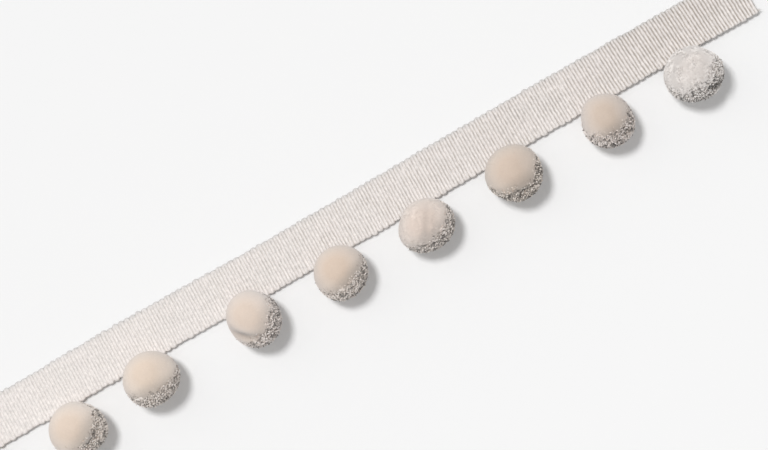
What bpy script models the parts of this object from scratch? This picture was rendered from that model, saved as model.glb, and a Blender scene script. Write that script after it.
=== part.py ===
"""Pompom fringe trim: a ribbed tape that lies flat, with nine cut-yarn pompoms sewn along one edge.

+X runs along the tape, +Y across it from the pompoms to the plain edge, and +Z up.
The origin is the bottom centre of the trim's box, on the surface that the trim lies on.
Sizes are in millimetres until place() turns them into metres.
"""

import math

import bmesh
import bpy
from mathutils import Matrix, Vector

MM = 0.001

# The tape. Its fringe edge is the one that the pompoms are sewn to.
TAPE_LENGTH = 320.0
TAPE_THICK = 1.2
TAPE_ROUNDING = 0.35
FRINGE_EDGE_Y = 0.3
TAPE_STEP = 2.5

# How the tape runs: its sideways sway, its width, which the weaving changes a little, and how far
# its fringe edge curls up off the surface between the pompoms.
TAPE_RUN = (
    {"x": -160.0, "sway": 0.10, "width": 16.1, "curl": 0.7},
    {"x": -112.0, "sway": 0.00, "width": 16.1, "curl": 0.7},
    {"x": -88.0, "sway": 0.27, "width": 16.3, "curl": 0.8},
    {"x": -60.0, "sway": 0.20, "width": 16.1, "curl": 0.7},
    {"x": -25.0, "sway": -0.33, "width": 16.2, "curl": 0.8},
    {"x": 10.0, "sway": -0.33, "width": 16.3, "curl": 0.7},
    {"x": 45.0, "sway": -0.05, "width": 16.3, "curl": 0.9},
    {"x": 78.0, "sway": 0.22, "width": 16.3, "curl": 0.9},
    {"x": 110.0, "sway": 0.15, "width": 16.3, "curl": 1.1},
    {"x": 135.0, "sway": 0.17, "width": 15.8, "curl": 1.2},
    {"x": 150.0, "sway": -0.10, "width": 15.8, "curl": 1.4},
    {"x": 160.0, "sway": -0.10, "width": 15.9, "curl": 1.4},
)

# The share of the tape's width, from the fringe edge, that curls up. The rest lies flat.
CURLED_SHARE = 0.45

# The pompoms, from the left end. Drop is from the fringe edge to the pompom's centre, and long,
# deep and high are its sizes along the tape, across it and up.
POMPOMS = (
    {"name": "pompom_1", "x": -138.8, "drop": 6.1, "long": 19.0, "deep": 18.6, "high": 18.4},
    {"name": "pompom_2", "x": -104.8, "drop": 7.6, "long": 19.2, "deep": 18.5, "high": 18.4},
    {"name": "pompom_3", "x": -75.2, "drop": 5.3, "long": 19.5, "deep": 18.3, "high": 18.6},
    {"name": "pompom_4", "x": -36.1, "drop": 4.7, "long": 18.3, "deep": 20.0, "high": 18.8},
    {"name": "pompom_5", "x": -3.5, "drop": 5.6, "long": 18.3, "deep": 18.2, "high": 18.2},
    {"name": "pompom_6", "x": 28.6, "drop": 6.3, "long": 20.0, "deep": 17.7, "high": 18.2},
    {"name": "pompom_7", "x": 62.2, "drop": 6.2, "long": 19.5, "deep": 19.3, "high": 18.8},
    {"name": "pompom_8", "x": 97.7, "drop": 6.5, "long": 17.8, "deep": 18.5, "high": 17.8},
    {"name": "pompom_9", "x": 130.2, "drop": 7.3, "long": 20.6, "deep": 18.7, "high": 20.0},
)

# Where the shears left a pompom flatter, or fuller, than a plain round: the direction from its
# centre, in degrees round from +X and up from level, and how far the surface goes out there.
TRIMMED = (
    {"name": "pompom_1", "round": 150.0, "up": 10.0, "out": -0.5},
    {"name": "pompom_1", "round": -60.0, "up": -5.0, "out": 0.5},
    {"name": "pompom_2", "round": 40.0, "up": 5.0, "out": -0.6},
    {"name": "pompom_2", "round": -38.0, "up": -8.0, "out": 1.0},
    {"name": "pompom_2", "round": -20.0, "up": 50.0, "out": -0.5},
    {"name": "pompom_3", "round": -134.0, "up": 0.0, "out": 0.7},
    {"name": "pompom_3", "round": 45.0, "up": 10.0, "out": -0.4},
    {"name": "pompom_3", "round": 0.0, "up": 55.0, "out": -0.5},
    {"name": "pompom_4", "round": 180.0, "up": 0.0, "out": -0.4},
    {"name": "pompom_4", "round": 45.0, "up": 5.0, "out": -0.5},
    {"name": "pompom_4", "round": -150.0, "up": 35.0, "out": -0.6},
    {"name": "pompom_5", "round": -131.0, "up": 0.0, "out": 0.7},
    {"name": "pompom_5", "round": -45.0, "up": 40.0, "out": -0.6},
    {"name": "pompom_6", "round": 145.0, "up": 5.0, "out": -0.7},
    {"name": "pompom_6", "round": 10.0, "up": 50.0, "out": -0.5},
    {"name": "pompom_6", "round": -90.0, "up": 45.0, "out": -0.4},
    {"name": "pompom_7", "round": -142.0, "up": 0.0, "out": -0.8},
    {"name": "pompom_7", "round": 45.0, "up": 5.0, "out": 0.4},
    {"name": "pompom_7", "round": 5.0, "up": 50.0, "out": -0.6},
    {"name": "pompom_8", "round": 115.0, "up": 5.0, "out": 0.6},
    {"name": "pompom_8", "round": 150.0, "up": 5.0, "out": -0.5},
    {"name": "pompom_8", "round": -50.0, "up": 5.0, "out": 0.5},
    {"name": "pompom_8", "round": 0.0, "up": 40.0, "out": -0.7},
    {"name": "pompom_9", "round": 31.0, "up": 5.0, "out": -1.2},
    {"name": "pompom_9", "round": -65.0, "up": -5.0, "out": 0.6},
    {"name": "pompom_9", "round": 170.0, "up": 45.0, "out": -0.5},
)
TRIMMED_SPREAD = math.radians(27.0)

# A pompom rests on a small flat spot, and its pile spreads onto the tape's edge, which bites in.
SUNK_SHARE = 0.04
SEAT_BITE = 0.5
SEAT_SPREAD = math.radians(24.0)
CLEARANCE = 0.32
MERIDIANS = 24
PARALLELS = 13

# The sewing thread pulls the fringe edge up a little more at each pompom.
PULL_SHARE = 0.25
PULL_REACH = 11.0

TAPE_COLOUR = (0.745, 0.688, 0.646, 1.0)
POMPOM_COLOUR = (0.693, 0.584, 0.491, 1.0)


def reading(table, x, column):
    """A column of a table at x, eased between the rows on either side."""
    for left, right in zip(table, table[1:]):
        if x <= right["x"]:
            share = (x - left["x"]) / (right["x"] - left["x"])
            eased = share * share * (3 - 2 * share)
            return left[column] + (right[column] - left[column]) * eased
    return table[-1][column]


def fringe_edge(x):
    """Where the fringe edge lies across the tape, at x."""
    mean_width = sum(row["width"] for row in TAPE_RUN) / len(TAPE_RUN)
    middle = FRINGE_EDGE_Y + mean_width / 2 + reading(TAPE_RUN, x, "sway")
    return middle - reading(TAPE_RUN, x, "width") / 2


def centre_height(pompom):
    return pompom["high"] * (0.5 - SUNK_SHARE / 2)


def height_over_edge(pompom):
    """How high a plain round pompom's underside is above the fringe edge."""
    share = pompom["drop"] / (pompom["deep"] / 2)
    return centre_height(pompom) - pompom["high"] / 2 * math.sqrt(1 - share * share)


def pull(pompom):
    """How far the sewing thread pulls the fringe edge up at a pompom."""
    slack = height_over_edge(pompom) - TAPE_THICK - reading(TAPE_RUN, pompom["x"], "curl")
    return max(0.0, PULL_SHARE * slack)


def lift(x):
    """How far the fringe edge is off the surface at x."""
    raised = reading(TAPE_RUN, x, "curl")
    for pompom in POMPOMS:
        away = abs(x - pompom["x"]) / PULL_REACH
        if away < 1:
            raised += pull(pompom) * math.cos(away * math.pi / 2) ** 2
    return raised


def grown(outline, margin):
    """A closed outline, with each of its sides moved out by margin."""
    moved = []
    for i, corner in enumerate(outline):
        before = (corner - outline[i - 1]).normalized()
        after = (outline[(i + 1) % len(outline)] - corner).normalized()
        out = Vector((before.y, -before.x))
        bisector = (out + Vector((after.y, -after.x))).normalized()
        moved.append(corner + bisector * margin / bisector.dot(out))
    return moved


def tape_section(x, margin=0.0):
    """The tape's cut face at x, grown by margin: flat at the plain edge and curled up at the other."""
    fringe = fringe_edge(x)
    plain = fringe + reading(TAPE_RUN, x, "width")
    bend = fringe + CURLED_SHARE * (plain - fringe)
    half_way = (fringe + bend) / 2
    top, cut = TAPE_THICK, TAPE_ROUNDING
    flat_corners = (
        (fringe + cut, 0.0),
        (half_way, 0.0),
        (bend, 0.0),
        (plain - cut, 0.0),
        (plain, cut),
        (plain, top - cut),
        (plain - cut, top),
        (bend, top),
        (half_way, top),
        (fringe + cut, top),
        (fringe, top - cut),
        (fringe, cut),
    )
    raised = lift(x)
    outline = []
    for y, z in flat_corners:
        share = max(0.0, (bend - y) / (bend - fringe))
        outline.append(Vector((y, z + raised * share**2)))
    return [Vector((x, *point)) for point in grown(outline, margin)]


def tape_mesh(name, margin=0.0):
    """The tape as one solid through its sections, or the space around it when margin is over 0."""
    shape = bmesh.new()
    steps = round(TAPE_LENGTH / TAPE_STEP)
    rings = []
    for step in range(steps + 1):
        x = TAPE_LENGTH * (step / steps - 0.5)
        rings.append([shape.verts.new(point) for point in tape_section(x, margin)])
    for before, after in zip(rings, rings[1:]):
        count = len(before)
        for i in range(count):
            j = (i + 1) % count
            shape.faces.new((before[i], before[j], after[j], after[i]))
    shape.faces.new(rings[0])
    shape.faces.new(reversed(rings[-1]))
    bmesh.ops.recalc_face_normals(shape, faces=shape.faces)
    mesh = bpy.data.meshes.new(name)
    shape.to_mesh(mesh)
    shape.free()
    return mesh


def direction(around, up):
    level = math.cos(up)
    return Vector((math.cos(around) * level, math.sin(around) * level, math.sin(up)))


def round_radius(pompom, towards):
    """A plain round pompom's size from its centre in one direction."""
    return 1 / math.sqrt(
        (towards.x / (pompom["long"] / 2)) ** 2
        + (towards.y / (pompom["deep"] / 2)) ** 2
        + (towards.z / (pompom["high"] / 2)) ** 2
    )


def bumps(pompom):
    """(direction, height, spread) of each place where the pompom departs from a plain round."""
    found = []
    for mark in TRIMMED:
        if mark["name"] == pompom["name"]:
            towards = direction(math.radians(mark["round"]), math.radians(mark["up"]))
            found.append((towards, mark["out"], TRIMMED_SPREAD))
    edge_top = TAPE_THICK + lift(pompom["x"])
    seat = Vector((0.0, pompom["drop"], edge_top - centre_height(pompom)))
    towards = seat.normalized()
    found.append((towards, seat.length - round_radius(pompom, towards) + SEAT_BITE, SEAT_SPREAD))
    return found


def pompom_mesh(pompom):
    """A trimmed ball round its own centre, cut flat where it meets the surface."""
    marks = bumps(pompom)
    floor = -centre_height(pompom)

    def surface_point(towards):
        reach = round_radius(pompom, towards)
        for middle, height, spread in marks:
            reach += height * math.exp(-((towards.angle(middle) / spread) ** 2))
        point = towards * reach
        point.z = max(point.z, floor)
        return point

    shape = bmesh.new()
    bottom = shape.verts.new(surface_point(Vector((0.0, 0.0, -1.0))))
    top = shape.verts.new(surface_point(Vector((0.0, 0.0, 1.0))))
    rings = []
    for i in range(1, PARALLELS):
        up = math.pi * (i / PARALLELS - 0.5)
        turns = (2 * math.pi * j / MERIDIANS for j in range(MERIDIANS))
        rings.append([shape.verts.new(surface_point(direction(turn, up))) for turn in turns])
    for j in range(MERIDIANS):
        k = (j + 1) % MERIDIANS
        shape.faces.new((bottom, rings[0][k], rings[0][j]))
        shape.faces.new((top, rings[-1][j], rings[-1][k]))
        for lower, upper in zip(rings, rings[1:]):
            shape.faces.new((lower[j], lower[k], upper[k], upper[j]))
    bmesh.ops.recalc_face_normals(shape, faces=shape.faces)
    mesh = bpy.data.meshes.new(pompom["name"])
    shape.to_mesh(mesh)
    shape.free()
    return mesh


def finish(name, colour, roughness):
    material = bpy.data.materials.new(name)
    material.use_nodes = True
    surface = material.node_tree.nodes["Principled BSDF"]
    surface.inputs["Base Color"].default_value = colour
    surface.inputs["Roughness"].default_value = roughness
    surface.inputs["Metallic"].default_value = 0.0
    return material


def place(name, mesh, parent, at=(0.0, 0.0, 0.0), material=None):
    """Adds the mesh, which is in millimetres, as an object in metres."""
    mesh.transform(Matrix.Scale(MM, 4))
    part = bpy.data.objects.new(name, mesh)
    bpy.context.scene.collection.objects.link(part)
    part.location = Vector(at) * MM
    part.parent = parent
    if material:
        mesh.materials.append(material)
    return part


def add_tape(parent):
    tape = place("tape", tape_mesh("tape"), parent, material=finish("tape_weave", TAPE_COLOUR, 0.75))
    tape.data.shade_flat()
    return tape


def add_seat_cutter(parent):
    """The space that the tape needs, which each pompom is cut back from."""
    cutter = place("tape_clearance", tape_mesh("tape_clearance", CLEARANCE), parent)
    cutter.hide_render = True
    cutter.display_type = "WIRE"
    return cutter


def add_pompoms(parent, cutter):
    pile = finish("pompom_pile", POMPOM_COLOUR, 0.85)
    for pompom in POMPOMS:
        centre = (
            pompom["x"],
            fringe_edge(pompom["x"]) - pompom["drop"],
            centre_height(pompom),
        )
        ball = place(pompom["name"], pompom_mesh(pompom), parent, centre, pile)
        ball.data.shade_smooth()
        seat = ball.modifiers.new("seat", "BOOLEAN")
        seat.operation = "DIFFERENCE"
        seat.solver = "EXACT"
        seat.object = cutter


def main():
    for old in list(bpy.data.objects):
        bpy.data.objects.remove(old)
    trim = bpy.data.objects.new("trim", None)
    bpy.context.scene.collection.objects.link(trim)
    add_tape(trim)
    add_pompoms(trim, add_seat_cutter(trim))


main()
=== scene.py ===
"""Pompom fringe trim, dressed: a ribbed grosgrain tape with nine cut-yarn pompoms tied to one edge.

Lengths here are in millimetres, and new_piece() turns them into metres.
"""

import math

import bpy
import numpy as np
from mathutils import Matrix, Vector
from mathutils.bvhtree import BVHTree
from mathutils.kdtree import KDTree


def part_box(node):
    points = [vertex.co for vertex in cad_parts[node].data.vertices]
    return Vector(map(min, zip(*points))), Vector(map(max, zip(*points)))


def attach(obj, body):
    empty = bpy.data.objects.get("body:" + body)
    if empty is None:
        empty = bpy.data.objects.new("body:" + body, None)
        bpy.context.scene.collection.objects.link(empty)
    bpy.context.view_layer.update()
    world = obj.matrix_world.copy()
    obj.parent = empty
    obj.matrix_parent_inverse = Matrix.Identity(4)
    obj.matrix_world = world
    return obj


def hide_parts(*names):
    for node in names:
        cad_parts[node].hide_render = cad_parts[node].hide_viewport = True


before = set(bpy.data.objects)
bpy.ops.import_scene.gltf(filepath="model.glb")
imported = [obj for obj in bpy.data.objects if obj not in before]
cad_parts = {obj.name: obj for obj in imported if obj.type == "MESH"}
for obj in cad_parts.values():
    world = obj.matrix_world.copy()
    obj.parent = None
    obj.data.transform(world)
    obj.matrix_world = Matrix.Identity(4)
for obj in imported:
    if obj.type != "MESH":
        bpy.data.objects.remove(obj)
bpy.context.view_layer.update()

MM = 0.001
BODY = "root"

# Where each kind of piece starts its random draws. Then what soft patches are made of: how many
# waves, how much they turn, and how their sizes differ.
SEEDS = {"tape": 11, "tufts": 49, "ties": 57, "frays": 40, "pompoms": 100}
PATCH_WAVES = 9
PATCH_TURNED = 0.3
PATCH_SIZES = (0.7, 1.3)

# The tape: half its thickness, its flat width, how low it may lie, and the share of its width, from
# the fringe edge, that curls up. Its solid's walls are the faces turned this far sideways, and the
# rib spacing is read at this many places along it.
TAPE_HALF = 0.6
LOWEST = 0.01
CURLED_SHARE = 0.45
WALL_TURNED = 0.9
SPACING_READINGS = 641

# Its ribs: where the rows of points stand in each, how round it is, and how unevenly the ribs are
# spaced, how far they wander, how plump they are, and how unevenly dark the painted shade between
# them is.
RIB_STEPS = (0.0, 0.1, 0.27, 0.5, 0.73, 0.9)
RIB_ROUNDNESS = 0.55
RIB_SPACING_UNEVEN = 0.03
RIB_WANDER = 0.05
RIB_PLUMP_UNEVEN = 0.08
RIB_UNEVEN = 0.12
VALLEY_UNEVEN = 0.3

# The weft loops at its two edges, each round two ribs: how deep the notches between them are, how
# blunt the loops are, how grey their yarn is, how uneven they are, and how far the fringe edge's
# reach past the solid. A loop fills the ribs' valleys where it turns, and their painted shade is
# lighter there. The notches get painted shade.
LOOPS = {
    "fringe": {"depth": 0.36, "blunt": 0.6, "grey": 0.1},
    "plain": {"depth": 0.53, "blunt": 0.9, "grey": 1.0},
}
LOOP_UNEVEN = 0.12
FRINGE_REACH = 0.36
LOOP_FILLS = 0.75
LOOP_FILLS_FROM = 0.8
LOOP_PALER = 0.45
NOTCH_PAINTED_SHADE = 0.3

# How the ribs change along the tape: how far apart they are, how far they lean from the plain edge to
# the fringe edge, how deep the valleys between them are, and how much painted shade darkens the yarn
# there.
RIB_RUN = (
    {"x": -160.0, "pitch": 1.110, "lean": 0.0, "deep": 0.20, "dark": 0.08},
    {"x": -110.0, "pitch": 1.108, "lean": -0.35, "deep": 0.24, "dark": 0.13},
    {"x": -50.0, "pitch": 1.092, "lean": -0.34, "deep": 0.30, "dark": 0.19},
    {"x": 0.0, "pitch": 1.096, "lean": -0.32, "deep": 0.37, "dark": 0.30},
    {"x": 40.0, "pitch": 1.122, "lean": -0.30, "deep": 0.43, "dark": 0.33},
    {"x": 95.0, "pitch": 1.155, "lean": 0.35, "deep": 0.47, "dark": 0.41},
    {"x": 122.0, "pitch": 1.160, "lean": 1.15, "deep": 0.49, "dark": 0.72},
    {"x": 138.0, "pitch": 1.155, "lean": 1.00, "deep": 0.49, "dark": 0.78},
    {"x": 160.0, "pitch": 1.155, "lean": 0.0, "deep": 0.49, "dark": 0.78},
)

# Rows of points at each edge of the tape: how far in from the edge they are, how much of the half
# thickness they have, and how much of an edge loop shows. Plain rows fill the width between them,
# from one share of it to another.
EDGE_ROWS = (
    {"inset": 0.00, "thick": 0.00, "loop": 1.0},
    {"inset": 0.09, "thick": 0.55, "loop": 1.0},
    {"inset": 0.32, "thick": 0.88, "loop": 0.8},
    {"inset": 0.85, "thick": 1.00, "loop": 0.3},
)
BODY_ROWS = {"count": 12, "from": 0.13, "to": 0.87}

# How the tape is laid out flat for its finish: in this many strips to a side, with margins along and
# between them, and the cut ends in a small round.
STRIPS = 3
STRIP_ENDS = 0.002
STRIP_SIDES = 0.02
CUT_END_FLAT = 0.0005

# The cut yarn ends of each pompom's pile. Each pair is for smooth pile and for ruffled pile: how
# many ends would cover the pompom, how wide they are for their spacing, how unlike their shades are,
# how unevenly long they are, how far they tip over, how slantwise they were cut, and how deep the
# packed yarn lies under their tips.
YARN_ENDS = (7000, 30000)
YARN_FILL = (1.496, 0.836)
YARN_SHADES_APART = (0.012, 0.12)
YARN_UNEVEN = (0.010, 0.13)
YARN_TIPPED = (0.015, 0.32)
YARN_SLANTED = (0.02, 0.32)
CORE_DEPTH = (0.12, 0.7)

# How ruffled the pile is where the ruffled ends take over, how long the ends are, how unevenly wide
# and spaced, how far they may stand proud of the solid, and how low they may lie.
YARN_RUFFLED_FROM = 0.2
YARN_LENGTH = 1.2
YARN_WIDTHS = (0.9, 1.1)
YARN_STRAGGLE = 0.2
YARN_PROUD = 0.1
YARN_LOWEST = 0.02

# How widely the solid's facets are smoothed, how many directions they are read in, and how far apart
# the slope between two directions is read.
SMOOTHING = math.radians(6.0)
SMOOTHING_READINGS = 1400
SLOPE_STEP = 0.02

# The packed yarn under the ends: how many points round it and how many rings up it, and its margin
# in the flat layout.
CORE_ROUNDS = 40
CORE_RINGS = 24
CORE_FLAT_MARGIN = 0.1

# Ruffled pile stands in tufts: how far apart they are and how unevenly spaced, how far their ends
# gather to the middle and mix with the next tuft's, how much lower and further out the outer ends
# of a tuft are, and how unlike the tufts are in height, lean and shade. Low yarn gets painted shade.
TUFT_PITCH = 0.59
TUFT_STRAGGLE = 0.3
TUFT_GATHER = 0.34
TUFT_MIXED = 0.08
TUFT_DOME = 0.22
TUFT_SPLAY = 0.45
TUFT_UNEVEN = 0.2
TUFT_LEANING = 0.34
TUFT_SHADES = 0.26
TUFT_PAINTED_SHADE = 0.5

# The tufts' shades clump together. A share of the tufts is turned up, stands proud and catches the
# light, some of them weakly, and is cut less slantwise; these are painted paler and show only their
# silvery sides, as a painted highlight. A few ends stray out.
CLUMP_SIZE = 0.15
CLUMP_SHADES = 0.15
GLINTS = 0.27
GLINT_LEAST = 0.4
GLINT_PAINTED_HIGHLIGHT = 0.7
GLINT_TURNED = 1.8
GLINT_PROUD = 0.14
GLINT_STRAIGHTER = 0.7
STRAYS = 0.07
STRAY_REACH = 0.4

# Soft troughs and folds in the pile: between two directions from the pompom's centre, in degrees
# round from +X and up from level, with a depth and a half width, how much painted shade darkens the
# pile there, and how ruffled. They are shallower at their ends.
TROUGH_ENDS = 0.15
TROUGHS = (
    {"name": "pompom_2", "from": (-84, 42), "to": (-30, 36),
     "depth": 0.7, "half": 1.7, "dark": 0.14, "ruffled": 0.4},
    {"name": "pompom_4", "from": (178, 22), "to": (-104, 49),
     "depth": 0.65, "half": 1.7, "dark": 0.36, "ruffled": 0.0},
    {"name": "pompom_6", "from": (60, 40), "to": (-120, 60),
     "depth": 0.4, "half": 1.4, "dark": 0.14, "ruffled": 0.0},
    {"name": "pompom_7", "from": (-112, 42), "to": (-82, 38),
     "depth": 0.7, "half": 1.7, "dark": 0.22, "ruffled": 1.3},
    {"name": "pompom_8", "from": (-84, 36), "to": (-44, 32),
     "depth": 0.7, "half": 1.3, "dark": 0.26, "ruffled": 1.0},
    {"name": "pompom_9", "from": (-74, 34), "to": (-50, 10),
     "depth": 1.8, "half": 1.7, "dark": 0.95, "ruffled": 1.0},
    {"name": "pompom_9", "from": (170, 30), "to": (80, 30),
     "depth": 0.3, "half": 3.5, "dark": 0.12, "ruffled": 0.0},
)

# Each pompom's smooth crown: the direction of its middle, in degrees round from +X and up from
# level, how wide it is to each side, how ruffled the pile is within it, and how much painted nap
# shade it gets. Beyond it the pile is ruffled, so that the yarn lies over and its pale sides show:
# how much paler it is, partly the yarn's own tone and partly a painted highlight, how much painted
# shade darkens it round the pompom's shoulder, and how lively its tufts are, which is how far apart
# their shades are and how dark their low yarn's painted shade is. Its yarn's colour differs a little
# too, on the cut ends and on the sides.
POMPOMS = (
    {"name": "pompom_1", "round": 111, "up": 46, "wide": 76, "within": 0.0, "nap": 1.0,
     "pale": 0.06, "under": 0.10, "lively": 1.10,
     "ends": (0.73, 0.61, 0.51), "sides": (0.90, 0.85, 0.81)},
    {"name": "pompom_2", "round": 119, "up": 48, "wide": 77, "within": 0.0, "nap": 1.0,
     "pale": 0.25, "under": 0.00, "lively": 1.35,
     "ends": (0.75, 0.625, 0.525), "sides": (0.94, 0.89, 0.845)},
    {"name": "pompom_3", "round": 89, "up": 40, "wide": 84, "within": 0.0, "nap": 1.15,
     "pale": 0.17, "under": 0.12, "lively": 1.10,
     "ends": (0.76, 0.635, 0.53), "sides": (0.90, 0.85, 0.81)},
    {"name": "pompom_4", "round": 126, "up": 42, "wide": 80, "within": 0.0, "nap": 0.8,
     "pale": 0.05, "under": 0.20, "lively": 1.10,
     "ends": (0.74, 0.62, 0.53), "sides": (0.91, 0.86, 0.83)},
    {"name": "pompom_5", "round": 105, "up": 44, "wide": 77, "within": 0.0, "nap": 1.15,
     "pale": 0.08, "under": 0.14, "lively": 1.00,
     "ends": (0.70, 0.57, 0.47), "sides": (0.88, 0.83, 0.79)},
    {"name": "pompom_6", "round": 107, "up": 46, "wide": 79, "within": 0.04, "nap": 0.9,
     "pale": 0.00, "under": 0.20, "lively": 1.20,
     "ends": (0.73, 0.62, 0.55), "sides": (0.89, 0.84, 0.80)},
    {"name": "pompom_7", "round": 100, "up": 50, "wide": 75, "within": 0.0, "nap": 1.1,
     "pale": -0.03, "under": 0.24, "lively": 1.30,
     "ends": (0.66, 0.54, 0.45), "sides": (0.79, 0.74, 0.69)},
    {"name": "pompom_8", "round": 98, "up": 50, "wide": 73, "within": 0.0, "nap": 1.3,
     "pale": 0.24, "under": 0.14, "lively": 1.65,
     "ends": (0.64, 0.53, 0.445), "sides": (0.87, 0.82, 0.79)},
    {"name": "pompom_9", "round": 107, "up": 44, "wide": 73, "within": 0.15, "nap": 0.0,
     "pale": 0.18, "under": 0.40, "lively": 1.40,
     "ends": (0.71, 0.655, 0.62), "sides": (0.92, 0.89, 0.865)},
)

# The crown's border, in degrees: how wide it is, and how ragged and speckled. Then the sizes of the
# patches that it is ragged in and that the pile within it is ruffled in, how speckled a trough's
# ruffling is, and how strong it must be to show.
CROWN_BORDER = 14.0
CROWN_RAGGED = 5.0
CROWN_SPECKLED = 6.0
RAGGED_SIZE = 0.3
RUFFLED_SIZE = 0.25
TROUGH_SPECKLED = 0.4
TROUGH_RUFFLED_FROM = 0.3

# Low down on the side away from the crown, the pile settles again, down to a share of the ruffling,
# and its cut ends show again. It starts this far up from the pompom's middle and takes this much
# more, as shares of the pompom's size.
SETTLED_FROM = 0.22
SETTLED_BORDER = 0.8
SETTLED_RUFFLE = 0.4
SETTLED_WARMTH = 0.5

# The tufts are calmer on the flatter underside: by how much, and over what downward slope.
LOW_CALMER = 0.5
LOW_BORDER = 0.45

# Smooth pile that faces away from the crown gets painted shade, where its nap would look darker: how
# much, from how far the pile faces away, and over how much more.
NAP_PAINTED_SHADE = 0.24
NAP_FROM = -0.06
NAP_BORDER = 0.55

# Pile that faces sideways gets painted shade too, and less of it underneath. The pompom's shoulder is
# where the pile faces nearly level, from a little above to a little below, and its tufts are less
# alike there, a painted contrast of shade and light.
SIDE_PAINTED_SHADE = 0.17
SIDE_FROM = 0.8
SIDE_EASED = 0.8
SHOULDER = {"above": 0.45, "below": 0.15}
SHOULDER_SHADES = 0.6

# The warm cut ends show all over the crown and less beyond it, where the silvery sides take over,
# partly the yarn's own colours and partly a painted sheen towards the sides. They are warmest this
# far from its middle towards straight up, and fall off over so many degrees. They show less in
# ruffled pile.
WARM_RAISED = 2 / 3
WARMEST = 1.3
WARM_BORDER = 70.0
RUFFLED_COOLER = 0.5

# The palest that yarn may be, the darkest shade that it is brought down to, and what its colour is
# multiplied by for the painted shade deep in the pile, and in its darker patches.
PALEST = 0.98
DARKEST = 0.35
DEEP_SHADE_TINT = (0.55, 0.49, 0.44)
PATCH_TINT = 0.97

# The tape's yarn: the two creams that it drifts between, and what they are multiplied by for the
# painted shade in the ribs' valleys and notches, and along the plain edge. Then its grain: how light
# the darkest of it is, and how much its threads and its flecks add. Its height is in metres.
CREAMS = ((0.81, 0.77, 0.74), (0.87, 0.815, 0.79))
VALLEY_SHADE_TINT = (0.57, 0.54, 0.50)
SELVEDGE_TINT = (0.76, 0.785, 0.80)
GRAIN = {"least": 0.69, "threads": 0.12, "flecks": 0.50}
GRAIN_HEIGHT = 0.00006

# The sewing thread: its two creams, how many loops of it tie each pompom to the fringe edge, how far
# apart they are and how unevenly, how far they bite into the tape, and how slantwise they run and
# how unevenly. Then half its thickness, how low it may lie, and the points round it and along a loop.
THREAD_SHADES = ((0.74, 0.69, 0.64), (0.84, 0.80, 0.76))
TIES = 4
TIE_PITCH = 1.0
TIE_UNEVEN = 0.12
TIE_BITE = 1.5
TIE_SLANT = (0.25, 0.1)
THREAD_RADIUS = 0.2
THREAD_LOWEST = 0.02
THREAD_SIDES = 6
THREAD_STEPS = 20

# Loose warp threads at each cut end of the tape: half their thickness, how deep they start, how far
# they mostly stick out and at most, how much they turn, between which shares of the tape's width
# they stand, and how far from the middle of its thickness.
FRAY_THREADS = 46
FRAY_RADIUS = 0.08
FRAY_ROOT = 0.5
FRAY_REACH = (0.22, 1.1)
FRAY_TURNED = 0.25
FRAY_ACROSS = (0.05, 0.97)
FRAY_SPREAD = 0.35

# A few of them, at the fringe corner, stand out further as a wisp, which turns down and outwards.
WISP_THREADS = 5
WISP_REACH = (0.9, 1.8)
WISP_ACROSS = (0.04, 0.09)
WISP_TURNED = (0.0, -0.7, -0.2)

# The view: straight down on the trim, which runs up to the right.
VIEW_MIDDLE = (16.6, 0.8)
VIEW_WIDTH = 256.0
VIEW_TILT = 29.85
LENS = 135.0
SENSOR = 36.0

# The lamps: where each stands round and above the trim, how far off and how wide it is, and its
# power in watts. The key lamp is a disc, and the fill is a square panel beside it. The sky is even.
LAMPS = (
    {"name": "key", "round": 111, "up": 66, "far": 3000, "wide": 670, "power": 52.0},
    {"name": "fill", "round": 125, "up": 40, "far": 1500, "wide": 1150, "power": 1.6},
)
SKY = 0.44

# The floor: half its width, its faint grain, and its shade, which evens out the light, against how
# far it is along towards the key lamp.
FLOOR_HALF = 6000.0
FLOOR_GRAIN = 0.004
FLOOR_RUN = (
    {"along": -150.0, "shade": 0.965},
    {"along": 0.0, "shade": 0.92},
    {"along": 150.0, "shade": 0.878},
)


def reading(table, x, column):
    """A column of a table at each x, straight between the rows."""
    return np.interp(x, [row["x"] for row in table], [row[column] for row in table])


def between(pair, share):
    """A value between the two of a pair, at a share of the way."""
    return pair[0] + (pair[1] - pair[0]) * share


def within(margin, share):
    """A share from 0 to 1, kept a margin away from both ends."""
    return margin + (1 - 2 * margin) * share


def unit(vectors):
    return vectors / np.linalg.norm(vectors, axis=-1, keepdims=True)


def direction(around, up):
    """The unit vector at these angles, in degrees round from +X and up from level."""
    around, up = math.radians(around), math.radians(up)
    level = math.cos(up)
    return np.array((math.cos(around) * level, math.sin(around) * level, math.sin(up)))


def tangents(normals):
    """Two unit vectors across each normal."""
    helper = np.where(np.abs(normals[:, 2:]) < 0.9, [[0.0, 0.0, 1.0]], [[1.0, 0.0, 0.0]])
    side = unit(np.cross(helper, normals))
    return side, np.cross(normals, side)


def ball_directions(count):
    """Unit vectors spread evenly over a ball, in a spiral."""
    step = np.arange(count) + 0.5
    height = 1 - 2 * step / count
    around = step * math.pi * (3 - math.sqrt(5))
    level = np.sqrt(1 - height**2)
    return np.stack((level * np.cos(around), level * np.sin(around), height), axis=1)


def patchy(towards, draw, size):
    """A soft uneven value in each direction, mostly from -1 to 1, in patches of this size."""
    total = np.zeros(len(towards))
    for wave in ball_directions(PATCH_WAVES):
        turned = unit(wave + draw.normal(0, PATCH_TURNED, 3))
        wave = turned * draw.uniform(*PATCH_SIZES) * math.pi / size
        total += np.cos(towards @ wave + draw.uniform(0, 2 * math.pi))
    return total / math.sqrt(PATCH_WAVES)


def new_object(name, data):
    made = bpy.data.objects.new(name, data)
    bpy.context.scene.collection.objects.link(made)
    return made


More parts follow.
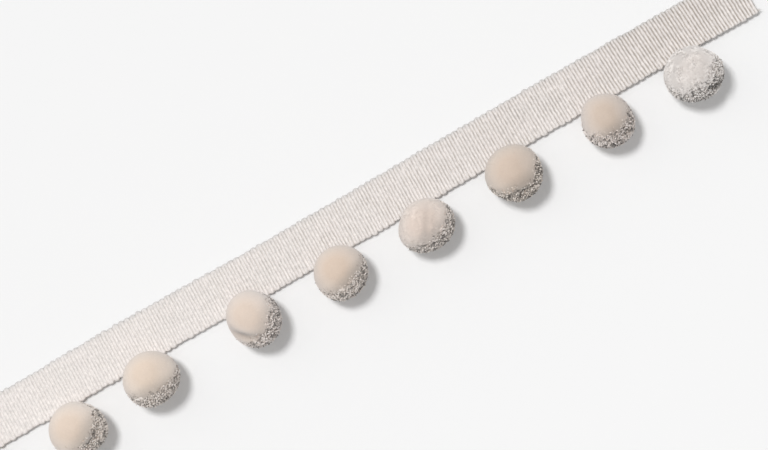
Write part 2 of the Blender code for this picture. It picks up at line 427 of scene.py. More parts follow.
def new_piece(name, points, faces, smooth):
    """A mesh object in metres, from points in millimetres and rows of corner numbers."""
    mesh = bpy.data.meshes.new(name)
    mesh.from_pydata((points * MM).tolist(), [], faces)
    if smooth:
        mesh.shade_smooth()
    return new_object(name, mesh)


def paint(piece, name, values):
    """Stores one number for each corner of the piece's faces, for its material to read."""
    layer = piece.data.attributes.new(name, "FLOAT", "CORNER")
    layer.data.foreach_set("value", np.asarray(values, dtype=np.float32))


def unwrap(piece, places):
    """Lays the piece's faces out flat, with one place for each corner."""
    layer = piece.data.uv_layers.new(name="OFBake")
    layer.data.foreach_set("uv", np.asarray(places, dtype=np.float32).ravel())


# Finishes


class Signal:
    """A number that varies over a surface. Arithmetic on it adds Math nodes to its finish."""

    def __init__(self, finish, socket):
        self.finish = finish
        self.socket = socket

    def math(self, operation, *values):
        return self.finish.add("ShaderNodeMath", {"operation": operation}, dict(enumerate(values)))

    def __add__(self, other):
        return self.math("ADD", self, other)

    def __radd__(self, other):
        return self.math("ADD", other, self)

    def __mul__(self, other):
        return self.math("MULTIPLY", self, other)

    def __rmul__(self, other):
        return self.math("MULTIPLY", other, self)


class Finish:
    """A material whose nodes lead to one Principled surface."""

    def __init__(self, name, surface):
        self.material = bpy.data.materials.new(name)
        self.material.use_nodes = True
        self.nodes = self.material.node_tree.nodes
        self.links = self.material.node_tree.links
        self.surface = self.nodes["Principled BSDF"]
        for socket, value in surface.items():
            self.surface.inputs[socket].default_value = value

    def add(self, kind, settings=None, sockets=None, output=0):
        """Adds a node, with its settings first and then its sockets' values or links."""
        node = self.nodes.new(kind)
        for setting, value in (settings or {}).items():
            if setting == "stops":
                set_stops(node.color_ramp, value)
            else:
                setattr(node, setting, value)
        for socket, value in (sockets or {}).items():
            self.feed(node.inputs[socket], value)
        return Signal(self, node.outputs[output])

    def feed(self, socket, value):
        if isinstance(value, Signal):
            self.links.new(value.socket, socket)
        else:
            socket.default_value = value

    def wear(self, socket, value):
        """Leads a signal into one of the surface's own sockets."""
        self.feed(self.surface.inputs[socket], value)

    def painted(self, name):
        return self.add("ShaderNodeAttribute", {"attribute_name": name}, output="Fac")

    def place(self):
        return self.add("ShaderNodeTexCoord", output="Object")

    def stretched(self, place, scale):
        """The place with each direction scaled, so that a pattern runs finer that way."""
        return self.add("ShaderNodeVectorMath", {"operation": "MULTIPLY"}, {0: place, 1: scale})

    def noise(self, place, scale, detail=2.0):
        """A soft pattern from 0 to 1, with its scale in patches to the metre."""
        return self.add(
            "ShaderNodeTexNoise", {}, {"Vector": place, "Scale": scale, "Detail": detail}, "Fac"
        )

    def ramp(self, along, stops):
        """A grey that changes along a signal from 0 to 1, with a shade at each stop."""
        return self.add("ShaderNodeValToRGB", {"stops": stops}, {"Fac": along}, "Color")

    def mix(self, share, first, second):
        """A colour between two, each a colour or a signal."""
        settings = {"data_type": "RGBA"}
        return self.add("ShaderNodeMix", settings, {0: share, 6: first, 7: second}, output=2)

    def shade(self, colour, by):
        """The colour made darker or lighter by a signal round 1, or by one number for each part."""
        if isinstance(by, tuple):
            return self.add("ShaderNodeVectorMath", {"operation": "MULTIPLY"}, {0: colour, 1: by})
        return self.add("ShaderNodeVectorMath", {"operation": "SCALE"}, {0: colour, "Scale": by})

    def bump(self, height, strength, distance):
        sockets = {"Height": height, "Strength": strength, "Distance": distance}
        self.wear("Normal", self.add("ShaderNodeBump", {}, sockets))


def opaque(colour):
    return (*colour, 1.0)


def set_stops(ramp, stops):
    """Gives a ramp its greys, each a place from 0 to 1 and a shade."""
    while len(ramp.elements) < len(stops):
        ramp.elements.new(0.5)
    for element, (at, shade) in zip(ramp.elements, stops):
        element.position = at
        element.color = opaque((shade,) * 3)


def grosgrain_finish():
    """Pale oyster yarn: fine warp threads run along the tape, over the thick weft of each rib. Its
    ribs' valleys and notches get painted shade.
    """
    finish = Finish("grosgrain", {"Roughness": 0.78, "Specular IOR Level": 0.25})
    place = finish.place()
    patches = finish.noise(finish.stretched(place, (1.0, 1.6, 1.0)), 90.0)
    threads = finish.noise(finish.stretched(place, (0.05, 1.0, 0.05)), 7000.0, 1.0)
    flecks = finish.noise(finish.stretched(place, (1.0, 0.5, 1.0)), 1700.0, 1.0)
    cream = finish.mix(patches, *map(opaque, CREAMS))
    # Painted shade: the cream darkened by the valley shade layer, in the ribs' valleys and the
    # notches.
    valley_shaded_cream = finish.shade(cream, VALLEY_SHADE_TINT)
    yarn = finish.mix(finish.painted("valley"), cream, valley_shaded_cream)
    grey = finish.shade(yarn, SELVEDGE_TINT)
    yarn = finish.mix(finish.painted("selvedge"), yarn, grey)
    grain = GRAIN["least"] + GRAIN["threads"] * threads + GRAIN["flecks"] * flecks
    finish.wear("Base Color", finish.shade(yarn, grain))
    finish.bump(threads + 0.5 * flecks, 0.35, GRAIN_HEIGHT)
    return finish.material


def pile_finish(name, ends, sides):
    """Cut yarn: peach-beige on its cut ends, silvery on its sides, with painted shade deep in the
    pile.
    """
    surface = {
        "Roughness": 0.85,
        "Specular IOR Level": 0.2,
        "Sheen Weight": 0.22,
        "Sheen Roughness": 0.45,
        "Sheen Tint": opaque((1.0, 0.98, 0.97)),
    }
    finish = Finish(name, surface)
    patches = finish.noise(finish.place(), 160.0)
    warm = finish.mix(patches, opaque(ends), opaque([PATCH_TINT * c for c in ends]))
    tip = finish.mix(finish.painted("warmth"), opaque(sides), warm)
    # Painted shade: the yarn's colour darkened deep in the pile, where the share of tip is low.
    deep = opaque([by * c for by, c in zip(DEEP_SHADE_TINT, sides)])
    colour = finish.mix(finish.painted("tip"), deep, tip)
    finish.wear("Base Color", finish.shade(colour, finish.painted("shade")))
    return finish.material


def thread_finish():
    finish = Finish("sewing_thread", {"Roughness": 0.7})
    twist = finish.noise(finish.place(), 2500.0)
    finish.wear("Base Color", finish.mix(twist, *map(opaque, THREAD_SHADES)))
    return finish.material


# The tape


def tape_edges():
    """(x, y, height) along the fringe edge and along the plain edge, read from the tape's solid."""
    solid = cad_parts["tape"].data
    walls = {-1: {}, 1: {}}
    for face in solid.polygons:
        if abs(face.normal.y) > WALL_TURNED:
            wall = walls[1 if face.normal.y > 0 else -1]
            for corner in face.vertices:
                point = solid.vertices[corner].co / MM
                wall.setdefault(round(point.x, 2), set()).add((point.y, point.z))
    edges = []
    for side in (-1, 1):
        rows = []
        for x, found in sorted(walls[side].items()):
            heights = [height for _, height in found]
            edge = side * max(side * y for y, _ in found)
            rows.append((x, edge, (min(heights) + max(heights)) / 2))
        edges.append(np.array(rows).T)
    return edges


def curling(share):
    """How far the tape is curled up, at a share of its width from the fringe edge."""
    return np.maximum(0, 1 - share / CURLED_SHARE) ** 2


def rib_line(draw):
    """The place of each station along the ribs, as a count of ribs, and its x."""
    low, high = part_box("tape")
    along = np.linspace(low.x, high.x, SPACING_READINGS) / MM
    spacing = reading(RIB_RUN, along, "pitch")
    steps = np.diff(along) * 2 / (spacing[1:] + spacing[:-1])
    passed = np.append(0, np.cumsum(steps))
    ribs = round(passed[-1])
    starts = np.arange(ribs)[:, None] + np.array(RIB_STEPS)[None, :]
    count = np.append(starts.ravel(), ribs)
    jitter = draw.normal(0, RIB_SPACING_UNEVEN, ribs + 1)
    jitter[0] = jitter[-1] = 0
    moved = count + np.interp(count, np.arange(ribs + 1), jitter)
    return count, np.interp(moved, passed * ribs / passed[-1], along)


def tape_rows():
    """The rows of points round the tape's section: along its top, then back along its underside."""
    low = [dict(row, share=0.0) for row in EDGE_ROWS]
    high = [dict(row, share=1.0, inset=-row["inset"]) for row in reversed(EDGE_ROWS)]
    shares = np.linspace(BODY_ROWS["from"], BODY_ROWS["to"], BODY_ROWS["count"])
    body = [{"share": share, "inset": 0.0, "thick": 1.0, "loop": 0.0} for share in shares]
    top = [dict(row, side=1.0) for row in (*low, *body, *high)]
    under = [dict(row, side=-1.0) for row in reversed(top[1:-1])]
    return top + under


class Ribs:
    """The tape's ribs and edge loops: each row of points along them, and the row's paint."""

    def __init__(self, draw):
        self.draw = draw
        self.count, self.x = rib_line(draw)
        self.ribs = round(self.count[-1])
        self.rise = np.abs(np.sin(np.pi * (self.count % 1))) ** RIB_ROUNDNESS
        self.plump = draw.normal(1.0, RIB_PLUMP_UNEVEN, self.ribs)
        self.reaches = draw.normal(0, LOOP_UNEVEN, (2, self.ribs + 2))
        self.lean, self.deep, self.dark = (
            reading(RIB_RUN, self.x, column) for column in ("lean", "deep", "dark")
        )
        self.fringe, self.plain = (
            [np.interp(self.x, edge[0], values) for values in edge[1:]] for edge in tape_edges()
        )

    def uneven(self, middle, spread):
        """A value that differs from rib to rib, and changes evenly between them."""
        values = self.draw.normal(middle, spread, self.ribs + 1)
        return np.interp(self.count, np.arange(self.ribs + 1), values)

    def relief(self):
        """How far the yarn lies under the tops of the ribs."""
        plump = self.plump + self.draw.normal(0, RIB_UNEVEN, self.ribs)
        return self.deep * (1 - self.rise * np.interp(self.count, np.arange(self.ribs) + 0.5, plump))

    def row(self, row):
        """One row's points, how much painted shade of the valleys and notches they have, and how grey
        they are.
        """
        at_plain = int(row["share"] > 0.5)
        loop = LOOPS["plain" if at_plain else "fringe"]
        turn = (self.count + at_plain) / 2
        looped = np.abs(np.sin(np.pi * turn)) ** loop["blunt"]
        reached = self.reaches[at_plain][turn.astype(int)] * looped
        held = 1 - LOOP_FILLS * row["loop"] * (looped > LOOP_FILLS_FROM)
        half = TAPE_HALF - self.relief() * held
        outwards = (1 if at_plain else -1) * (loop["depth"] * (looped - 1) + reached)
        inwards = row["inset"] + outwards * row["loop"] - FRINGE_REACH * (1 - row["share"])
        wide = self.plain[0] - self.fringe[0]
        y = self.fringe[0] + row["share"] * wide + inwards
        curled = curling(np.maximum(0, (y - self.fringe[0]) / wide))
        middle = self.plain[1] + (self.fringe[1] - self.plain[1]) * curled
        x = self.x + self.lean * (0.5 - row["share"]) + self.uneven(0, RIB_WANDER)
        x[0], x[-1] = self.x[0], self.x[-1]
        z = np.maximum(middle + row["side"] * row["thick"] * half, LOWEST)
        # Painted shade: darker in the valleys between ribs, lighter where a loop turns, darker in the
        # notches.
        valley = 2 * self.dark * (1 - self.rise) * held * (1 - LOOP_PALER * row["loop"])
        valley = valley * self.uneven(1, VALLEY_UNEVEN) + NOTCH_PAINTED_SHADE * (1 - looped) * row["loop"]
        grey = np.full(len(x), row["loop"] * loop["grey"])
        return np.stack((x, y, z), axis=1), np.clip(valley, 0, 1), grey


def make_tape():
    ribs = Ribs(np.random.default_rng(SEEDS["tape"]))
    rows = [ribs.row(row) for row in tape_rows()]
    points, valley, grey = (np.stack(each, axis=1) for each in zip(*rows))
    faces, places, corners = tape_faces(len(ribs.x), len(rows))
    tape = new_piece("grosgrain_tape", points.reshape(-1, 3), faces, smooth=True)
    paint(tape, "valley", valley.ravel()[corners])
    paint(tape, "selvedge", grey.ravel()[corners])
    unwrap(tape, places)
    tape.data.materials.append(grosgrain_finish())
    return tape


def tape_faces(stations, around):
    """The tape's faces, their flat places in strips one above the other, and their corners."""
    top = (around + 2) // 2 - 1
    faces, places = [], []
    for i in range(stations - 1):
        strip = i * STRIPS // (stations - 1)
        start = strip * (stations - 1) / STRIPS
        across = [(k - start) / ((stations - 1) / STRIPS) for k in (i, i + 1)]
        for j in range(around):
            k = (j + 1) % around
            side = 0 if j < top else 1
            low, high = ((n - side * top) / top for n in (j, j + 1))
            faces.append((i * around + j, i * around + k, (i + 1) * around + k, (i + 1) * around + j))
            for along, up in ((0, low), (0, high), (1, high), (1, low)):
                u = within(STRIP_ENDS, min(max(across[along], 0), 1))
                v = (strip + side * STRIPS + within(STRIP_SIDES, up)) / (2 * STRIPS)
                places.append((u, v))
    for end in (0, stations - 1):
        ring = [end * around + j for j in range(around)]
        faces.append(ring if end else ring[::-1])
        places += [
            (0.5 + CUT_END_FLAT * math.cos(j), 0.5 + CUT_END_FLAT * math.sin(j))
            for j in range(around)
        ]
    return faces, places, [corner for face in faces for corner in face]


# The pompoms


class Ball:
    """One pompom's outer form, smoothed from the facets of its solid."""

    def __init__(self, row):
        low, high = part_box(row["name"])
        self.row = row
        self.troughs = [trough for trough in TROUGHS if trough["name"] == row["name"]]
        self.centre = np.array((low + high) / 2) / MM
        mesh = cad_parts[row["name"]].data
        points = [vertex.co / MM for vertex in mesh.vertices]
        self.tree = BVHTree.FromPolygons(points, [tuple(face.vertices) for face in mesh.polygons])
        self.samples = ball_directions(SMOOTHING_READINGS)
        self.reached = self.solid_reach(self.samples)
        self.size = self.reached.mean()

    def solid_reach(self, towards):
        """How far the solid's surface is from the centre, in each direction."""
        middle = Vector(self.centre)
        hits = (self.tree.ray_cast(middle, Vector(each)) for each in towards)
        return np.array([hit[3] for hit in hits])

    def trough(self, towards, column):
        """How deep its troughs make the pile, how much painted shade they give it, and how ruffled,
        in each direction.
        """
        total = np.zeros(len(towards))
        for trough in self.troughs:
            start, end = direction(*trough["from"]), direction(*trough["to"])
            run = end - start
            share = np.clip((towards - start) @ run / (run @ run), 0, 1)
            line = unit(start + share[:, None] * run)
            away = np.arccos(np.clip((towards * line).sum(1), -1, 1)) * self.size
            fade = np.sin(np.pi * within(TROUGH_ENDS, share))
            total += trough[column] * fade * np.exp(-((away / trough["half"]) ** 2))
        return total

    def smooth_reach(self, towards):
        """The same with its facets smoothed away, and with the troughs sunk into it."""
        near = np.exp((towards @ self.samples.T - 1) / SMOOTHING**2)
        return near @ self.reached / near.sum(1) - self.trough(towards, "depth")

    def normals(self, towards):
        """The smooth surface's outward directions, from how its reach changes either way."""
        here = self.smooth_reach(towards)
        slope = np.zeros(towards.shape)
        for way in tangents(towards):
            there = self.smooth_reach(unit(towards + SLOPE_STEP * way))
            slope += ((there - here) / SLOPE_STEP)[:, None] * way
        return unit(here[:, None] * towards - slope)

    def off_crown(self, towards):
        """How many degrees each direction is away from the crown's middle."""
        return angle_from(towards, direction(self.row["round"], self.row["up"]))

    def settling(self, towards):
        """How far the pile has settled again, from 0 near the crown to 1 on the far side."""
        below = np.clip((SETTLED_FROM - towards[:, 2]) / SETTLED_BORDER, 0, 1)
        away = self.off_crown(towards) - self.row["wide"]
        return below * np.clip(away / CROWN_BORDER, 0, 1)

    def ruffling(self, towards, draw, speckle=0.0):
        """How ruffled the pile is, from 0 to 1, with a ragged and speckled border."""
        away = self.off_crown(towards) - self.row["wide"]
        away = away + CROWN_RAGGED * patchy(towards, draw, RAGGED_SIZE) + CROWN_SPECKLED * speckle
        beyond = np.clip(away / CROWN_BORDER + 0.5, 0, 1)
        beyond = beyond * (1 - (1 - SETTLED_RUFFLE) * self.settling(towards))
        inside = self.row["within"] * np.clip(1 + patchy(towards, draw, RUFFLED_SIZE), 0, 2)
        trough = self.trough(towards, "ruffled") * (1 + TROUGH_SPECKLED * speckle)
        return np.minimum(1, inside + np.clip(trough - TROUGH_RUFFLED_FROM, 0, 1) + beyond)

    def warmth(self, normals):
        """How much of the warm colour shows: all of it at the crown and less to its sides, a fall-off
        that is partly a painted sheen.
        """
        middle = direction(self.row["round"], between((self.row["up"], 90.0), WARM_RAISED))
        warm = np.clip(WARMEST - angle_from(normals, middle) / WARM_BORDER, 0, 1)
        return warm + SETTLED_WARMTH * self.settling(normals)

    def lying_away(self, normals):
        """How much painted shade the pile gets where its nap lies away from the crown, from 0 to 1.
        """
        slope = -normals @ direction(self.row["round"], 0.0)
        share = np.clip((slope - NAP_FROM) / NAP_BORDER, 0, 1)
        return share * share * (3 - 2 * share)


def angle_from(towards, middle):
    return np.degrees(np.arccos(np.clip(towards @ middle, -1, 1)))


class Tufts:
    """The tufts that ruffled yarn ends stand in, as values for each end."""

    def __init__(self, towards, size, draw):
        count = round(4 * math.pi * (size / TUFT_PITCH) ** 2)
        middles = ball_directions(count)
        middles = unit(middles + draw.normal(0, TUFT_STRAGGLE * TUFT_PITCH / size, middles.shape))
        tree = KDTree(count)
        for i, middle in enumerate(middles):
            tree.insert(middle, i)
        tree.balance()
        mixed = towards + draw.normal(0, TUFT_MIXED / size, towards.shape)
        nearest = np.array([tree.find(each)[1] for each in mixed])
        clump = patchy(middles, draw, CLUMP_SIZE)
        glinting = draw.uniform(0, 1, count) < GLINTS * (1 + clump)
        self.middle = middles[nearest]
        self.dip = np.abs(draw.normal(0, TUFT_UNEVEN, count))[nearest]
        self.lean = draw.normal(0, TUFT_LEANING, (count, 3))[nearest]
        self.shade = (draw.normal(0, TUFT_SHADES, count) + CLUMP_SHADES * clump)[nearest]
        self.speckle = draw.normal(0, 1, count)[nearest]
        self.glint = (glinting * draw.uniform(GLINT_LEAST, 1.0, count))[nearest]

    def keep(self, kept):
        for name, values in vars(self).items():
            setattr(self, name, values[kept])


class Pile:
    """One pompom's cut yarn ends: where each stands, its shape and its paint."""

    def __init__(self, ball, number):
        self.ball = ball
        self.draw = np.random.default_rng(SEEDS["pompoms"] + number)
        self.stand(np.random.default_rng(SEEDS["tufts"] + number))
        self.ends = len(self.towards)
        self.normals = ball.normals(self.towards)
        self.outer = (self.towards - self.tufts.middle) * ball.size / (TUFT_PITCH / 2)
        self.glint = self.ruffle * self.tufts.glint
        self.low = np.clip(-self.normals[:, 2] / LOW_BORDER, 0, 1)
        self.calm = 1 - LOW_CALMER * self.low
        dome = TUFT_DOME * (self.outer**2).sum(axis=1)
        self.sunk = self.ruffle * self.calm * (self.tufts.dip * (1 - self.tufts.glint) + dome)

    def stand(self, tuft_draw):
        """Stands the ends wide apart in smooth pile, and close together in ruffled pile."""
        pitch = np.repeat([math.sqrt(4 * math.pi / count) for count in YARN_ENDS], YARN_ENDS)
        towards = np.concatenate([ball_directions(count) for count in YARN_ENDS])
        straggle = self.draw.normal(0, YARN_STRAGGLE, towards.shape)
        towards = unit(towards + straggle * pitch[:, None])
        self.tufts = Tufts(towards, self.ball.size, tuft_draw)
        ruffle = self.ball.ruffling(towards, self.draw, self.tufts.speckle)
        kept = (ruffle > YARN_RUFFLED_FROM) == np.repeat((False, True), YARN_ENDS)
        self.tufts.keep(kept)
        self.pitch, self.ruffle = pitch[kept], ruffle[kept]
        gathered = TUFT_GATHER * self.ruffle[:, None] * (self.tufts.middle - towards[kept])
        self.towards = unit(towards[kept] + gathered)

    def reach(self):
        """How far each end's tip is from the pompom's centre."""
        reach = self.ball.solid_reach(self.towards) + YARN_PROUD
        reach = np.minimum(self.ball.smooth_reach(self.towards), reach)
        uneven = between(YARN_UNEVEN, self.ruffle)
        reach = reach - np.abs(self.draw.normal(0, 1, self.ends)) * uneven
        reach = reach - self.sunk + self.glint * GLINT_PROUD
        strays = self.draw.uniform(0, 1, self.ends) < STRAYS
        return reach + strays * self.ruffle * self.draw.uniform(0, STRAY_REACH, self.ends)

    def axes(self):
        """The way that each end points, which the tufts splay and the glints turn up."""
        side, up = tangents(self.normals)
        tilt = self.draw.normal(0, 1, (2, self.ends)) * between(YARN_TIPPED, self.ruffle)
        splay = self.ruffle[:, None] * (TUFT_SPLAY * self.outer + self.tufts.lean)
        turned = self.glint[:, None] * GLINT_TURNED * direction(0, 90)
        tipped = tilt[0][:, None] * side + tilt[1][:, None] * up
        return unit(self.normals + splay + turned + tipped)

    def points(self):
        """Three corners round each end's slantwise cut tip, and then its root."""
        reach = self.reach()
        axis = self.axes()
        side, up = tangents(axis)
        tip = self.ball.centre + self.towards * reach[:, None]
        width = between(YARN_FILL, self.ruffle) * self.pitch * reach
        width = width * self.draw.uniform(*YARN_WIDTHS, self.ends)
        spin = self.draw.uniform(0, 2 * math.pi, self.ends)
        slanted = between(YARN_SLANTED, self.ruffle) * (1 - GLINT_STRAIGHTER * self.glint)
        slant = self.draw.normal(0, 1, (2, self.ends)) * slanted
        points = np.zeros((self.ends, 4, 3))
        for corner in range(3):
            turn = spin + corner * 2 * math.pi / 3
            a, b = np.cos(turn), np.sin(turn)
            out = (width * a)[:, None] * side + (width * b)[:, None] * up
            rise = (width * (a * slant[0] + b * slant[1]))[:, None] * axis
            points[:, corner] = tip + out + rise
        points[:, 3] = tip - YARN_LENGTH * axis
        points[:, :, 2] = np.maximum(points[:, :, 2], YARN_LOWEST)
        return points

    def shades(self):
        """How light each end is, round 1: random tones, with painted shade and painted highlights."""
        row = self.ball.row
        level = self.normals[:, 2]
        away = self.ball.lying_away(self.normals) * (1 - self.ball.settling(self.towards))
        shoulder = np.clip(1 - level / SHOULDER["above"], 0, 1)
        shoulder = shoulder * np.clip(1 + level / SHOULDER["below"], 0, 1)
        contrast = row["lively"] * self.calm * (1 + SHOULDER_SHADES * shoulder)
        aside = np.clip(1 - level / SIDE_FROM, 0, 1) * (1 - SIDE_EASED * self.low)
        shade = 1 + self.draw.normal(0, 1, self.ends) * between(YARN_SHADES_APART, self.ruffle)
        # Ruffled pile: random tuft tones with painted shoulder contrast, paler partly by tone, partly
        # painted highlight.
        shade = shade + self.ruffle * (self.tufts.shade * contrast + row["pale"])
        # Painted highlight on glinting tufts, and painted shade on the low yarn of sunk tufts.
        shade = shade + self.glint * GLINT_PAINTED_HIGHLIGHT - self.sunk * row["lively"] * TUFT_PAINTED_SHADE
        # Painted shade: smooth pile facing away from the crown, the shoulder on that side, sideways
        # pile, troughs.
        shade = shade - away * (1 - self.ruffle) * NAP_PAINTED_SHADE * row["nap"]
        shade = shade - away * row["under"] * shoulder - SIDE_PAINTED_SHADE * aside
        shade = shade - self.ball.trough(self.towards, "dark")
        return np.clip(shade, DARKEST, PALEST / max(row["sides"]))

    def warmth(self):
        """How much of the warm colour each end's tip shows; glinting tufts show their silvery sides,
        as part of their painted highlight.
        """
        warm = self.ball.warmth(self.normals)
        return warm * (1 - RUFFLED_COOLER * self.ruffle) * (1 - self.glint)


# A yarn end's faces: its cut tip, and its three sides down to its root. Each has the share of tip
# colour at its corners, the rest being painted deep shade, and its flat places in a unit square.
YARN_TIP = {
    "corners": (0, 1, 2),
    "tip": (1, 1, 1),
    "places": ((0.04, 0.60), (0.96, 0.60), (0.50, 0.96)),
}
YARN_SIDES = [
    {
        "corners": (k, 3, (k + 1) % 3),
        "tip": (0.8, 0, 0.8),
        "places": ((0.04 + 0.31 * k, 0.54), (0.18 + 0.31 * k, 0.04), (0.32 + 0.31 * k, 0.54)),
    }
    for k in range(3)
]


def core_ball(ball, draw):
    """The closed ball of packed yarn that the ends stand out of: points, faces and ruffling."""
    around = np.arange(CORE_ROUNDS) * 2 * math.pi / CORE_ROUNDS
    towards = [(0.0, 0.0, -1.0)]
    for up in np.linspace(-math.pi / 2, math.pi / 2, CORE_RINGS + 1)[1:-1]:
        level = math.cos(up)
        towards += [(level * math.cos(a), level * math.sin(a), math.sin(up)) for a in around]
    towards = np.array(towards + [(0.0, 0.0, 1.0)])
    ruffle = ball.ruffling(towards, draw)
    reach = np.minimum(ball.smooth_reach(towards), ball.solid_reach(towards))
    points = ball.centre + towards * (reach - between(CORE_DEPTH, ruffle))[:, None]
    last = len(points) - 1
    faces = []
    for j in range(CORE_ROUNDS):
        k = (j + 1) % CORE_ROUNDS
        faces.append((0, 1 + k, 1 + j))
        faces.append((last, last - CORE_ROUNDS + j, last - CORE_ROUNDS + k))
        for ring in range(CORE_RINGS - 2):
            low, high = (1 + n * CORE_ROUNDS for n in (ring, ring + 1))
            faces.append((low + j, low + k, high + k, high + j))
    return points, faces, ruffle


def yarn_faces(cells, across):
    """The ends' faces, and each corner's share of tip and flat place, in a square of cells."""
    first = 4 * np.arange(len(cells))
    faces, tips, places = [], [], []
    for side in (YARN_TIP, *YARN_SIDES):
        faces += (first[:, None] + np.array(side["corners"])).tolist()
        tips.append(np.tile(side["tip"], len(cells)))
        places.append(((cells[:, None] + np.array(side["places"])) / across).reshape(-1, 2))
    return faces, tips, places


def make_pompom(row, number):
    ball = Ball(row)
    pile = Pile(ball, number)
    ends, shades, warm = pile.points(), pile.shades(), pile.warmth()
    seed = SEEDS["pompoms"] + number
    core_points, core_faces, core_ruffle = core_ball(ball, np.random.default_rng(seed))
    core_corners = [i for face in core_faces for i in face]
    # The core gets the painted deep shade where the pile is ruffled.
    core_tips = (1 - core_ruffle)[core_corners]
    across = math.ceil(math.sqrt(len(ends) + 1))
    each = np.arange(len(ends) + 1)
    cells = np.stack((each % across, each // across), axis=1)
    faces, tips, places = yarn_faces(cells[:-1], across)
    faces += [tuple(4 * len(ends) + i for i in face) for face in core_faces]
    spots = np.random.default_rng(seed).uniform(0, 1, (len(core_corners), 2))
    places.append((cells[-1] + within(CORE_FLAT_MARGIN, spots)) / across)
    points = np.concatenate((ends.reshape(-1, 3), core_points))
    pompom = new_piece(row["name"] + "_pile", points, faces, smooth=False)
    warm, shades = (np.tile(np.repeat(values, 3), len(tips)) for values in (warm, shades))
    paint(pompom, "tip", np.concatenate((*tips, core_tips)))
    paint(pompom, "warmth", np.concatenate((warm, core_tips)))
    paint(pompom, "shade", np.concatenate((shades, np.ones(len(core_corners)))))
    unwrap(pompom, np.concatenate(places))
    pompom.data.materials.append(pile_finish(row["name"] + "_yarn", row["ends"], row["sides"]))
    return pompom


# The sewing thread


def tube(path, radius):
    """A closed loop of thread round a path of points: its points and faces."""
    along = unit(np.roll(path, -1, 0) - np.roll(path, 1, 0))
    side, up = tangents(along)
    rings = []
    for j in range(THREAD_SIDES):
        turn = 2 * math.pi * j / THREAD_SIDES
        rings.append(path + radius * (math.cos(turn) * side + math.sin(turn) * up))
    faces = []
    for i in range(len(path)):
        here, there = (k % len(path) * THREAD_SIDES for k in (i, i + 1))
        for j in range(THREAD_SIDES):
            k = (j + 1) % THREAD_SIDES
            faces.append((here + j, here + k, there + k, there + j))
    return np.stack(rings, axis=1).reshape(-1, 3), faces


def make_tie(name, number):
    """The thread that whips one pompom to the fringe edge: a few loops round the tape's edge."""
    draw = np.random.default_rng(SEEDS["ties"] + number)
    low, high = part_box(name)
    middle = (low.x + high.x) / 2 / MM
    x_along, y_along, z_along = tape_edges()[0]
    turn = 2 * math.pi * np.arange(THREAD_STEPS) / THREAD_STEPS
    points, faces = [], []
    for loop in range(TIES):
        x = middle + (loop - (TIES - 1) / 2) * TIE_PITCH + draw.normal(0, TIE_UNEVEN)
        edge, height = np.interp(x, x_along, y_along), np.interp(x, x_along, z_along)
        slant = draw.normal(*TIE_SLANT)
        inwards = TIE_BITE * (1 - np.cos(turn)) / 2 - THREAD_RADIUS
        z = height + (TAPE_HALF + THREAD_RADIUS) * np.sin(turn)
        z = np.maximum(z, THREAD_RADIUS + THREAD_LOWEST)
        path = np.stack((x + slant * np.sin(turn), edge + inwards, z), axis=1)
        loop_points, loop_faces = tube(path, THREAD_RADIUS)
        faces += [tuple(sum(map(len, points)) + i for i in face) for face in loop_faces]
        points.append(loop_points)
    tie = new_piece(f"{name}_tie", np.concatenate(points), faces, smooth=True)
    tie.data.materials.append(thread_finish())
    return tie


# A loose warp thread: three sides from its root to its bend, and a point.
FRAY_FACES = (
    (0, 2, 1), (0, 1, 4, 3), (1, 2, 5, 4), (2, 0, 3, 5), (3, 4, 6), (4, 5, 6), (5, 3, 6),
)


def make_fray(name, side):
    """The loose warp threads at one cut end: closed three-sided spikes that start in the tape."""
    draw = np.random.default_rng(SEEDS["frays"] + side)
    fringe, plain = (edge[:, 0 if side < 0 else -1] for edge in tape_edges())
    wisp = np.arange(FRAY_THREADS) < WISP_THREADS
    share = draw.uniform(*FRAY_ACROSS, FRAY_THREADS)
    share[wisp] = draw.uniform(*WISP_ACROSS, WISP_THREADS)
    reach = np.minimum(draw.exponential(FRAY_REACH[0], FRAY_THREADS), FRAY_REACH[1])
    reach[wisp] = draw.uniform(*WISP_REACH, WISP_THREADS)
    root = np.zeros((FRAY_THREADS, 3))
    root[:, 0] = fringe[0] - side * FRAY_ROOT
    root[:, 1] = fringe[1] + share * (plain[1] - fringe[1])
    root[:, 2] = plain[2] + (fringe[2] - plain[2]) * curling(share)
    root[:, 2] += draw.uniform(-FRAY_SPREAD, FRAY_SPREAD, FRAY_THREADS)
    way = np.array((side, 0.0, 0.0)) + draw.normal(0, FRAY_TURNED, root.shape)
    way = unit(way + wisp[:, None] * np.array(WISP_TURNED))
    bent = unit(way + draw.normal(0, FRAY_TURNED, root.shape))
    half_way = root + way * (FRAY_ROOT + reach[:, None] / 2)
    across, up = tangents(way)
    points = np.zeros((FRAY_THREADS, 7, 3))
    for corner in range(3):
        turn = 2 * math.pi * corner / 3
        out = FRAY_RADIUS * (math.cos(turn) * across + math.sin(turn) * up)
        points[:, corner] = root + out
        points[:, 3 + corner] = half_way + out
    points[:, 6] = half_way + bent * reach[:, None] / 2
    points[:, :, 2] = np.maximum(points[:, :, 2], LOWEST)
    faces = [tuple(7 * i + c for c in face) for i in range(FRAY_THREADS) for face in FRAY_FACES]
    fray = new_piece(name, points.reshape(-1, 3), faces, smooth=True)
    fray.data.materials.append(thread_finish())
    return fray


# The set


def point_down(target, at):
    """Turns a lamp so that it shines at a place."""
    aim = Vector(at) - target.location
    target.rotation_euler = aim.to_track_quat("-Z", "Y").to_euler()


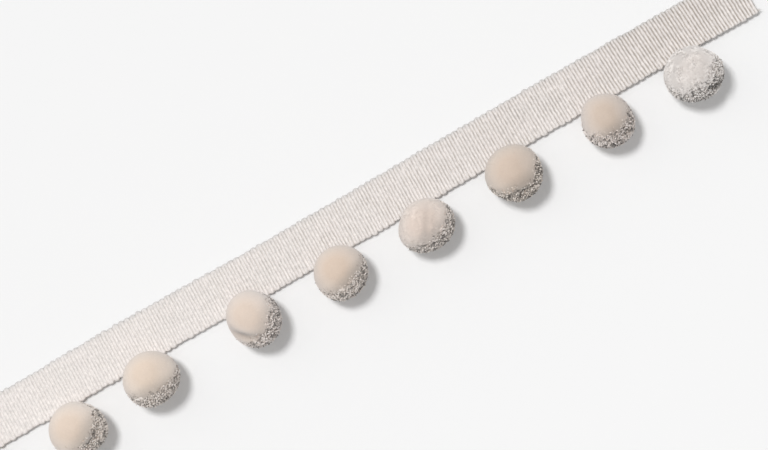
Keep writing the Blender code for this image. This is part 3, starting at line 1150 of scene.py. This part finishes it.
def set_camera():
    data = bpy.data.cameras.new("camera")
    data.lens = LENS
    data.sensor_width = SENSOR
    data.clip_start = 0.01
    data.clip_end = 20.0
    camera = new_object("camera", data)
    height = VIEW_WIDTH * LENS / SENSOR
    camera.location = (VIEW_MIDDLE[0] * MM, VIEW_MIDDLE[1] * MM, height * MM)
    camera.rotation_euler = (0.0, 0.0, math.radians(-VIEW_TILT))
    bpy.context.scene.camera = camera


def set_lights():
    for row in LAMPS:
        data = bpy.data.lights.new(row["name"], "AREA")
        data.shape = "DISK" if row["name"] == "key" else "SQUARE"
        data.size = row["wide"] * MM
        data.energy = row["power"]
        lamp = new_object(row["name"], data)
        lamp.location = Vector(direction(row["round"], row["up"])) * row["far"] * MM
        lamp.visible_camera = False
        point_down(lamp, (0.0, 0.0, 0.0))
    world = bpy.data.worlds.new("studio")
    world.use_nodes = True
    sky = world.node_tree.nodes["Background"]
    sky.inputs["Color"].default_value = opaque((1.0, 1.0, 1.0))
    sky.inputs["Strength"].default_value = SKY
    bpy.context.scene.world = world


def floor_finish():
    """Pale board, a little darker away from the key lamp's side, with a faint grain."""
    finish = Finish("floor_board", {"Roughness": 0.9, "Specular IOR Level": 0.0})
    first, last = FLOOR_RUN[0]["along"], FLOOR_RUN[-1]["along"]
    towards_key = tuple(direction(LAMPS[0]["round"], 0.0) / ((last - first) * MM))
    sockets = {0: finish.place(), 1: towards_key}
    along = finish.add("ShaderNodeVectorMath", {"operation": "DOT_PRODUCT"}, sockets, "Value")
    stops = [((row["along"] - first) / (last - first), row["shade"]) for row in FLOOR_RUN]
    ramp = finish.ramp(along + 0.5, stops)
    grain = finish.noise(finish.place(), 30.0)
    shade = (1 - FLOOR_GRAIN / 2) + FLOOR_GRAIN * grain
    finish.wear("Base Color", finish.shade(ramp, shade))
    return finish.material


def set_floor():
    half = FLOOR_HALF
    corners = np.array([(-half, -half, 0), (half, -half, 0), (half, half, 0), (-half, half, 0)])
    floor = new_piece("floor", corners, [(0, 1, 2, 3)], smooth=False)
    floor.data.materials.append(floor_finish())


def dress():
    tape = make_tape()
    ties = [make_tie(row["name"], number) for number, row in enumerate(POMPOMS)]
    frays = [make_fray("left_fray", -1), make_fray("right_fray", 1)]
    for piece in (tape, *ties, *frays):
        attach(piece, BODY)
    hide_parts("tape")
    for number, row in enumerate(POMPOMS):
        pompom = make_pompom(row, number)
        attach(pompom, BODY)
        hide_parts(row["name"])


bpy.context.scene.view_settings.view_transform = "Standard"
set_camera()
set_lights()
set_floor()
dress()
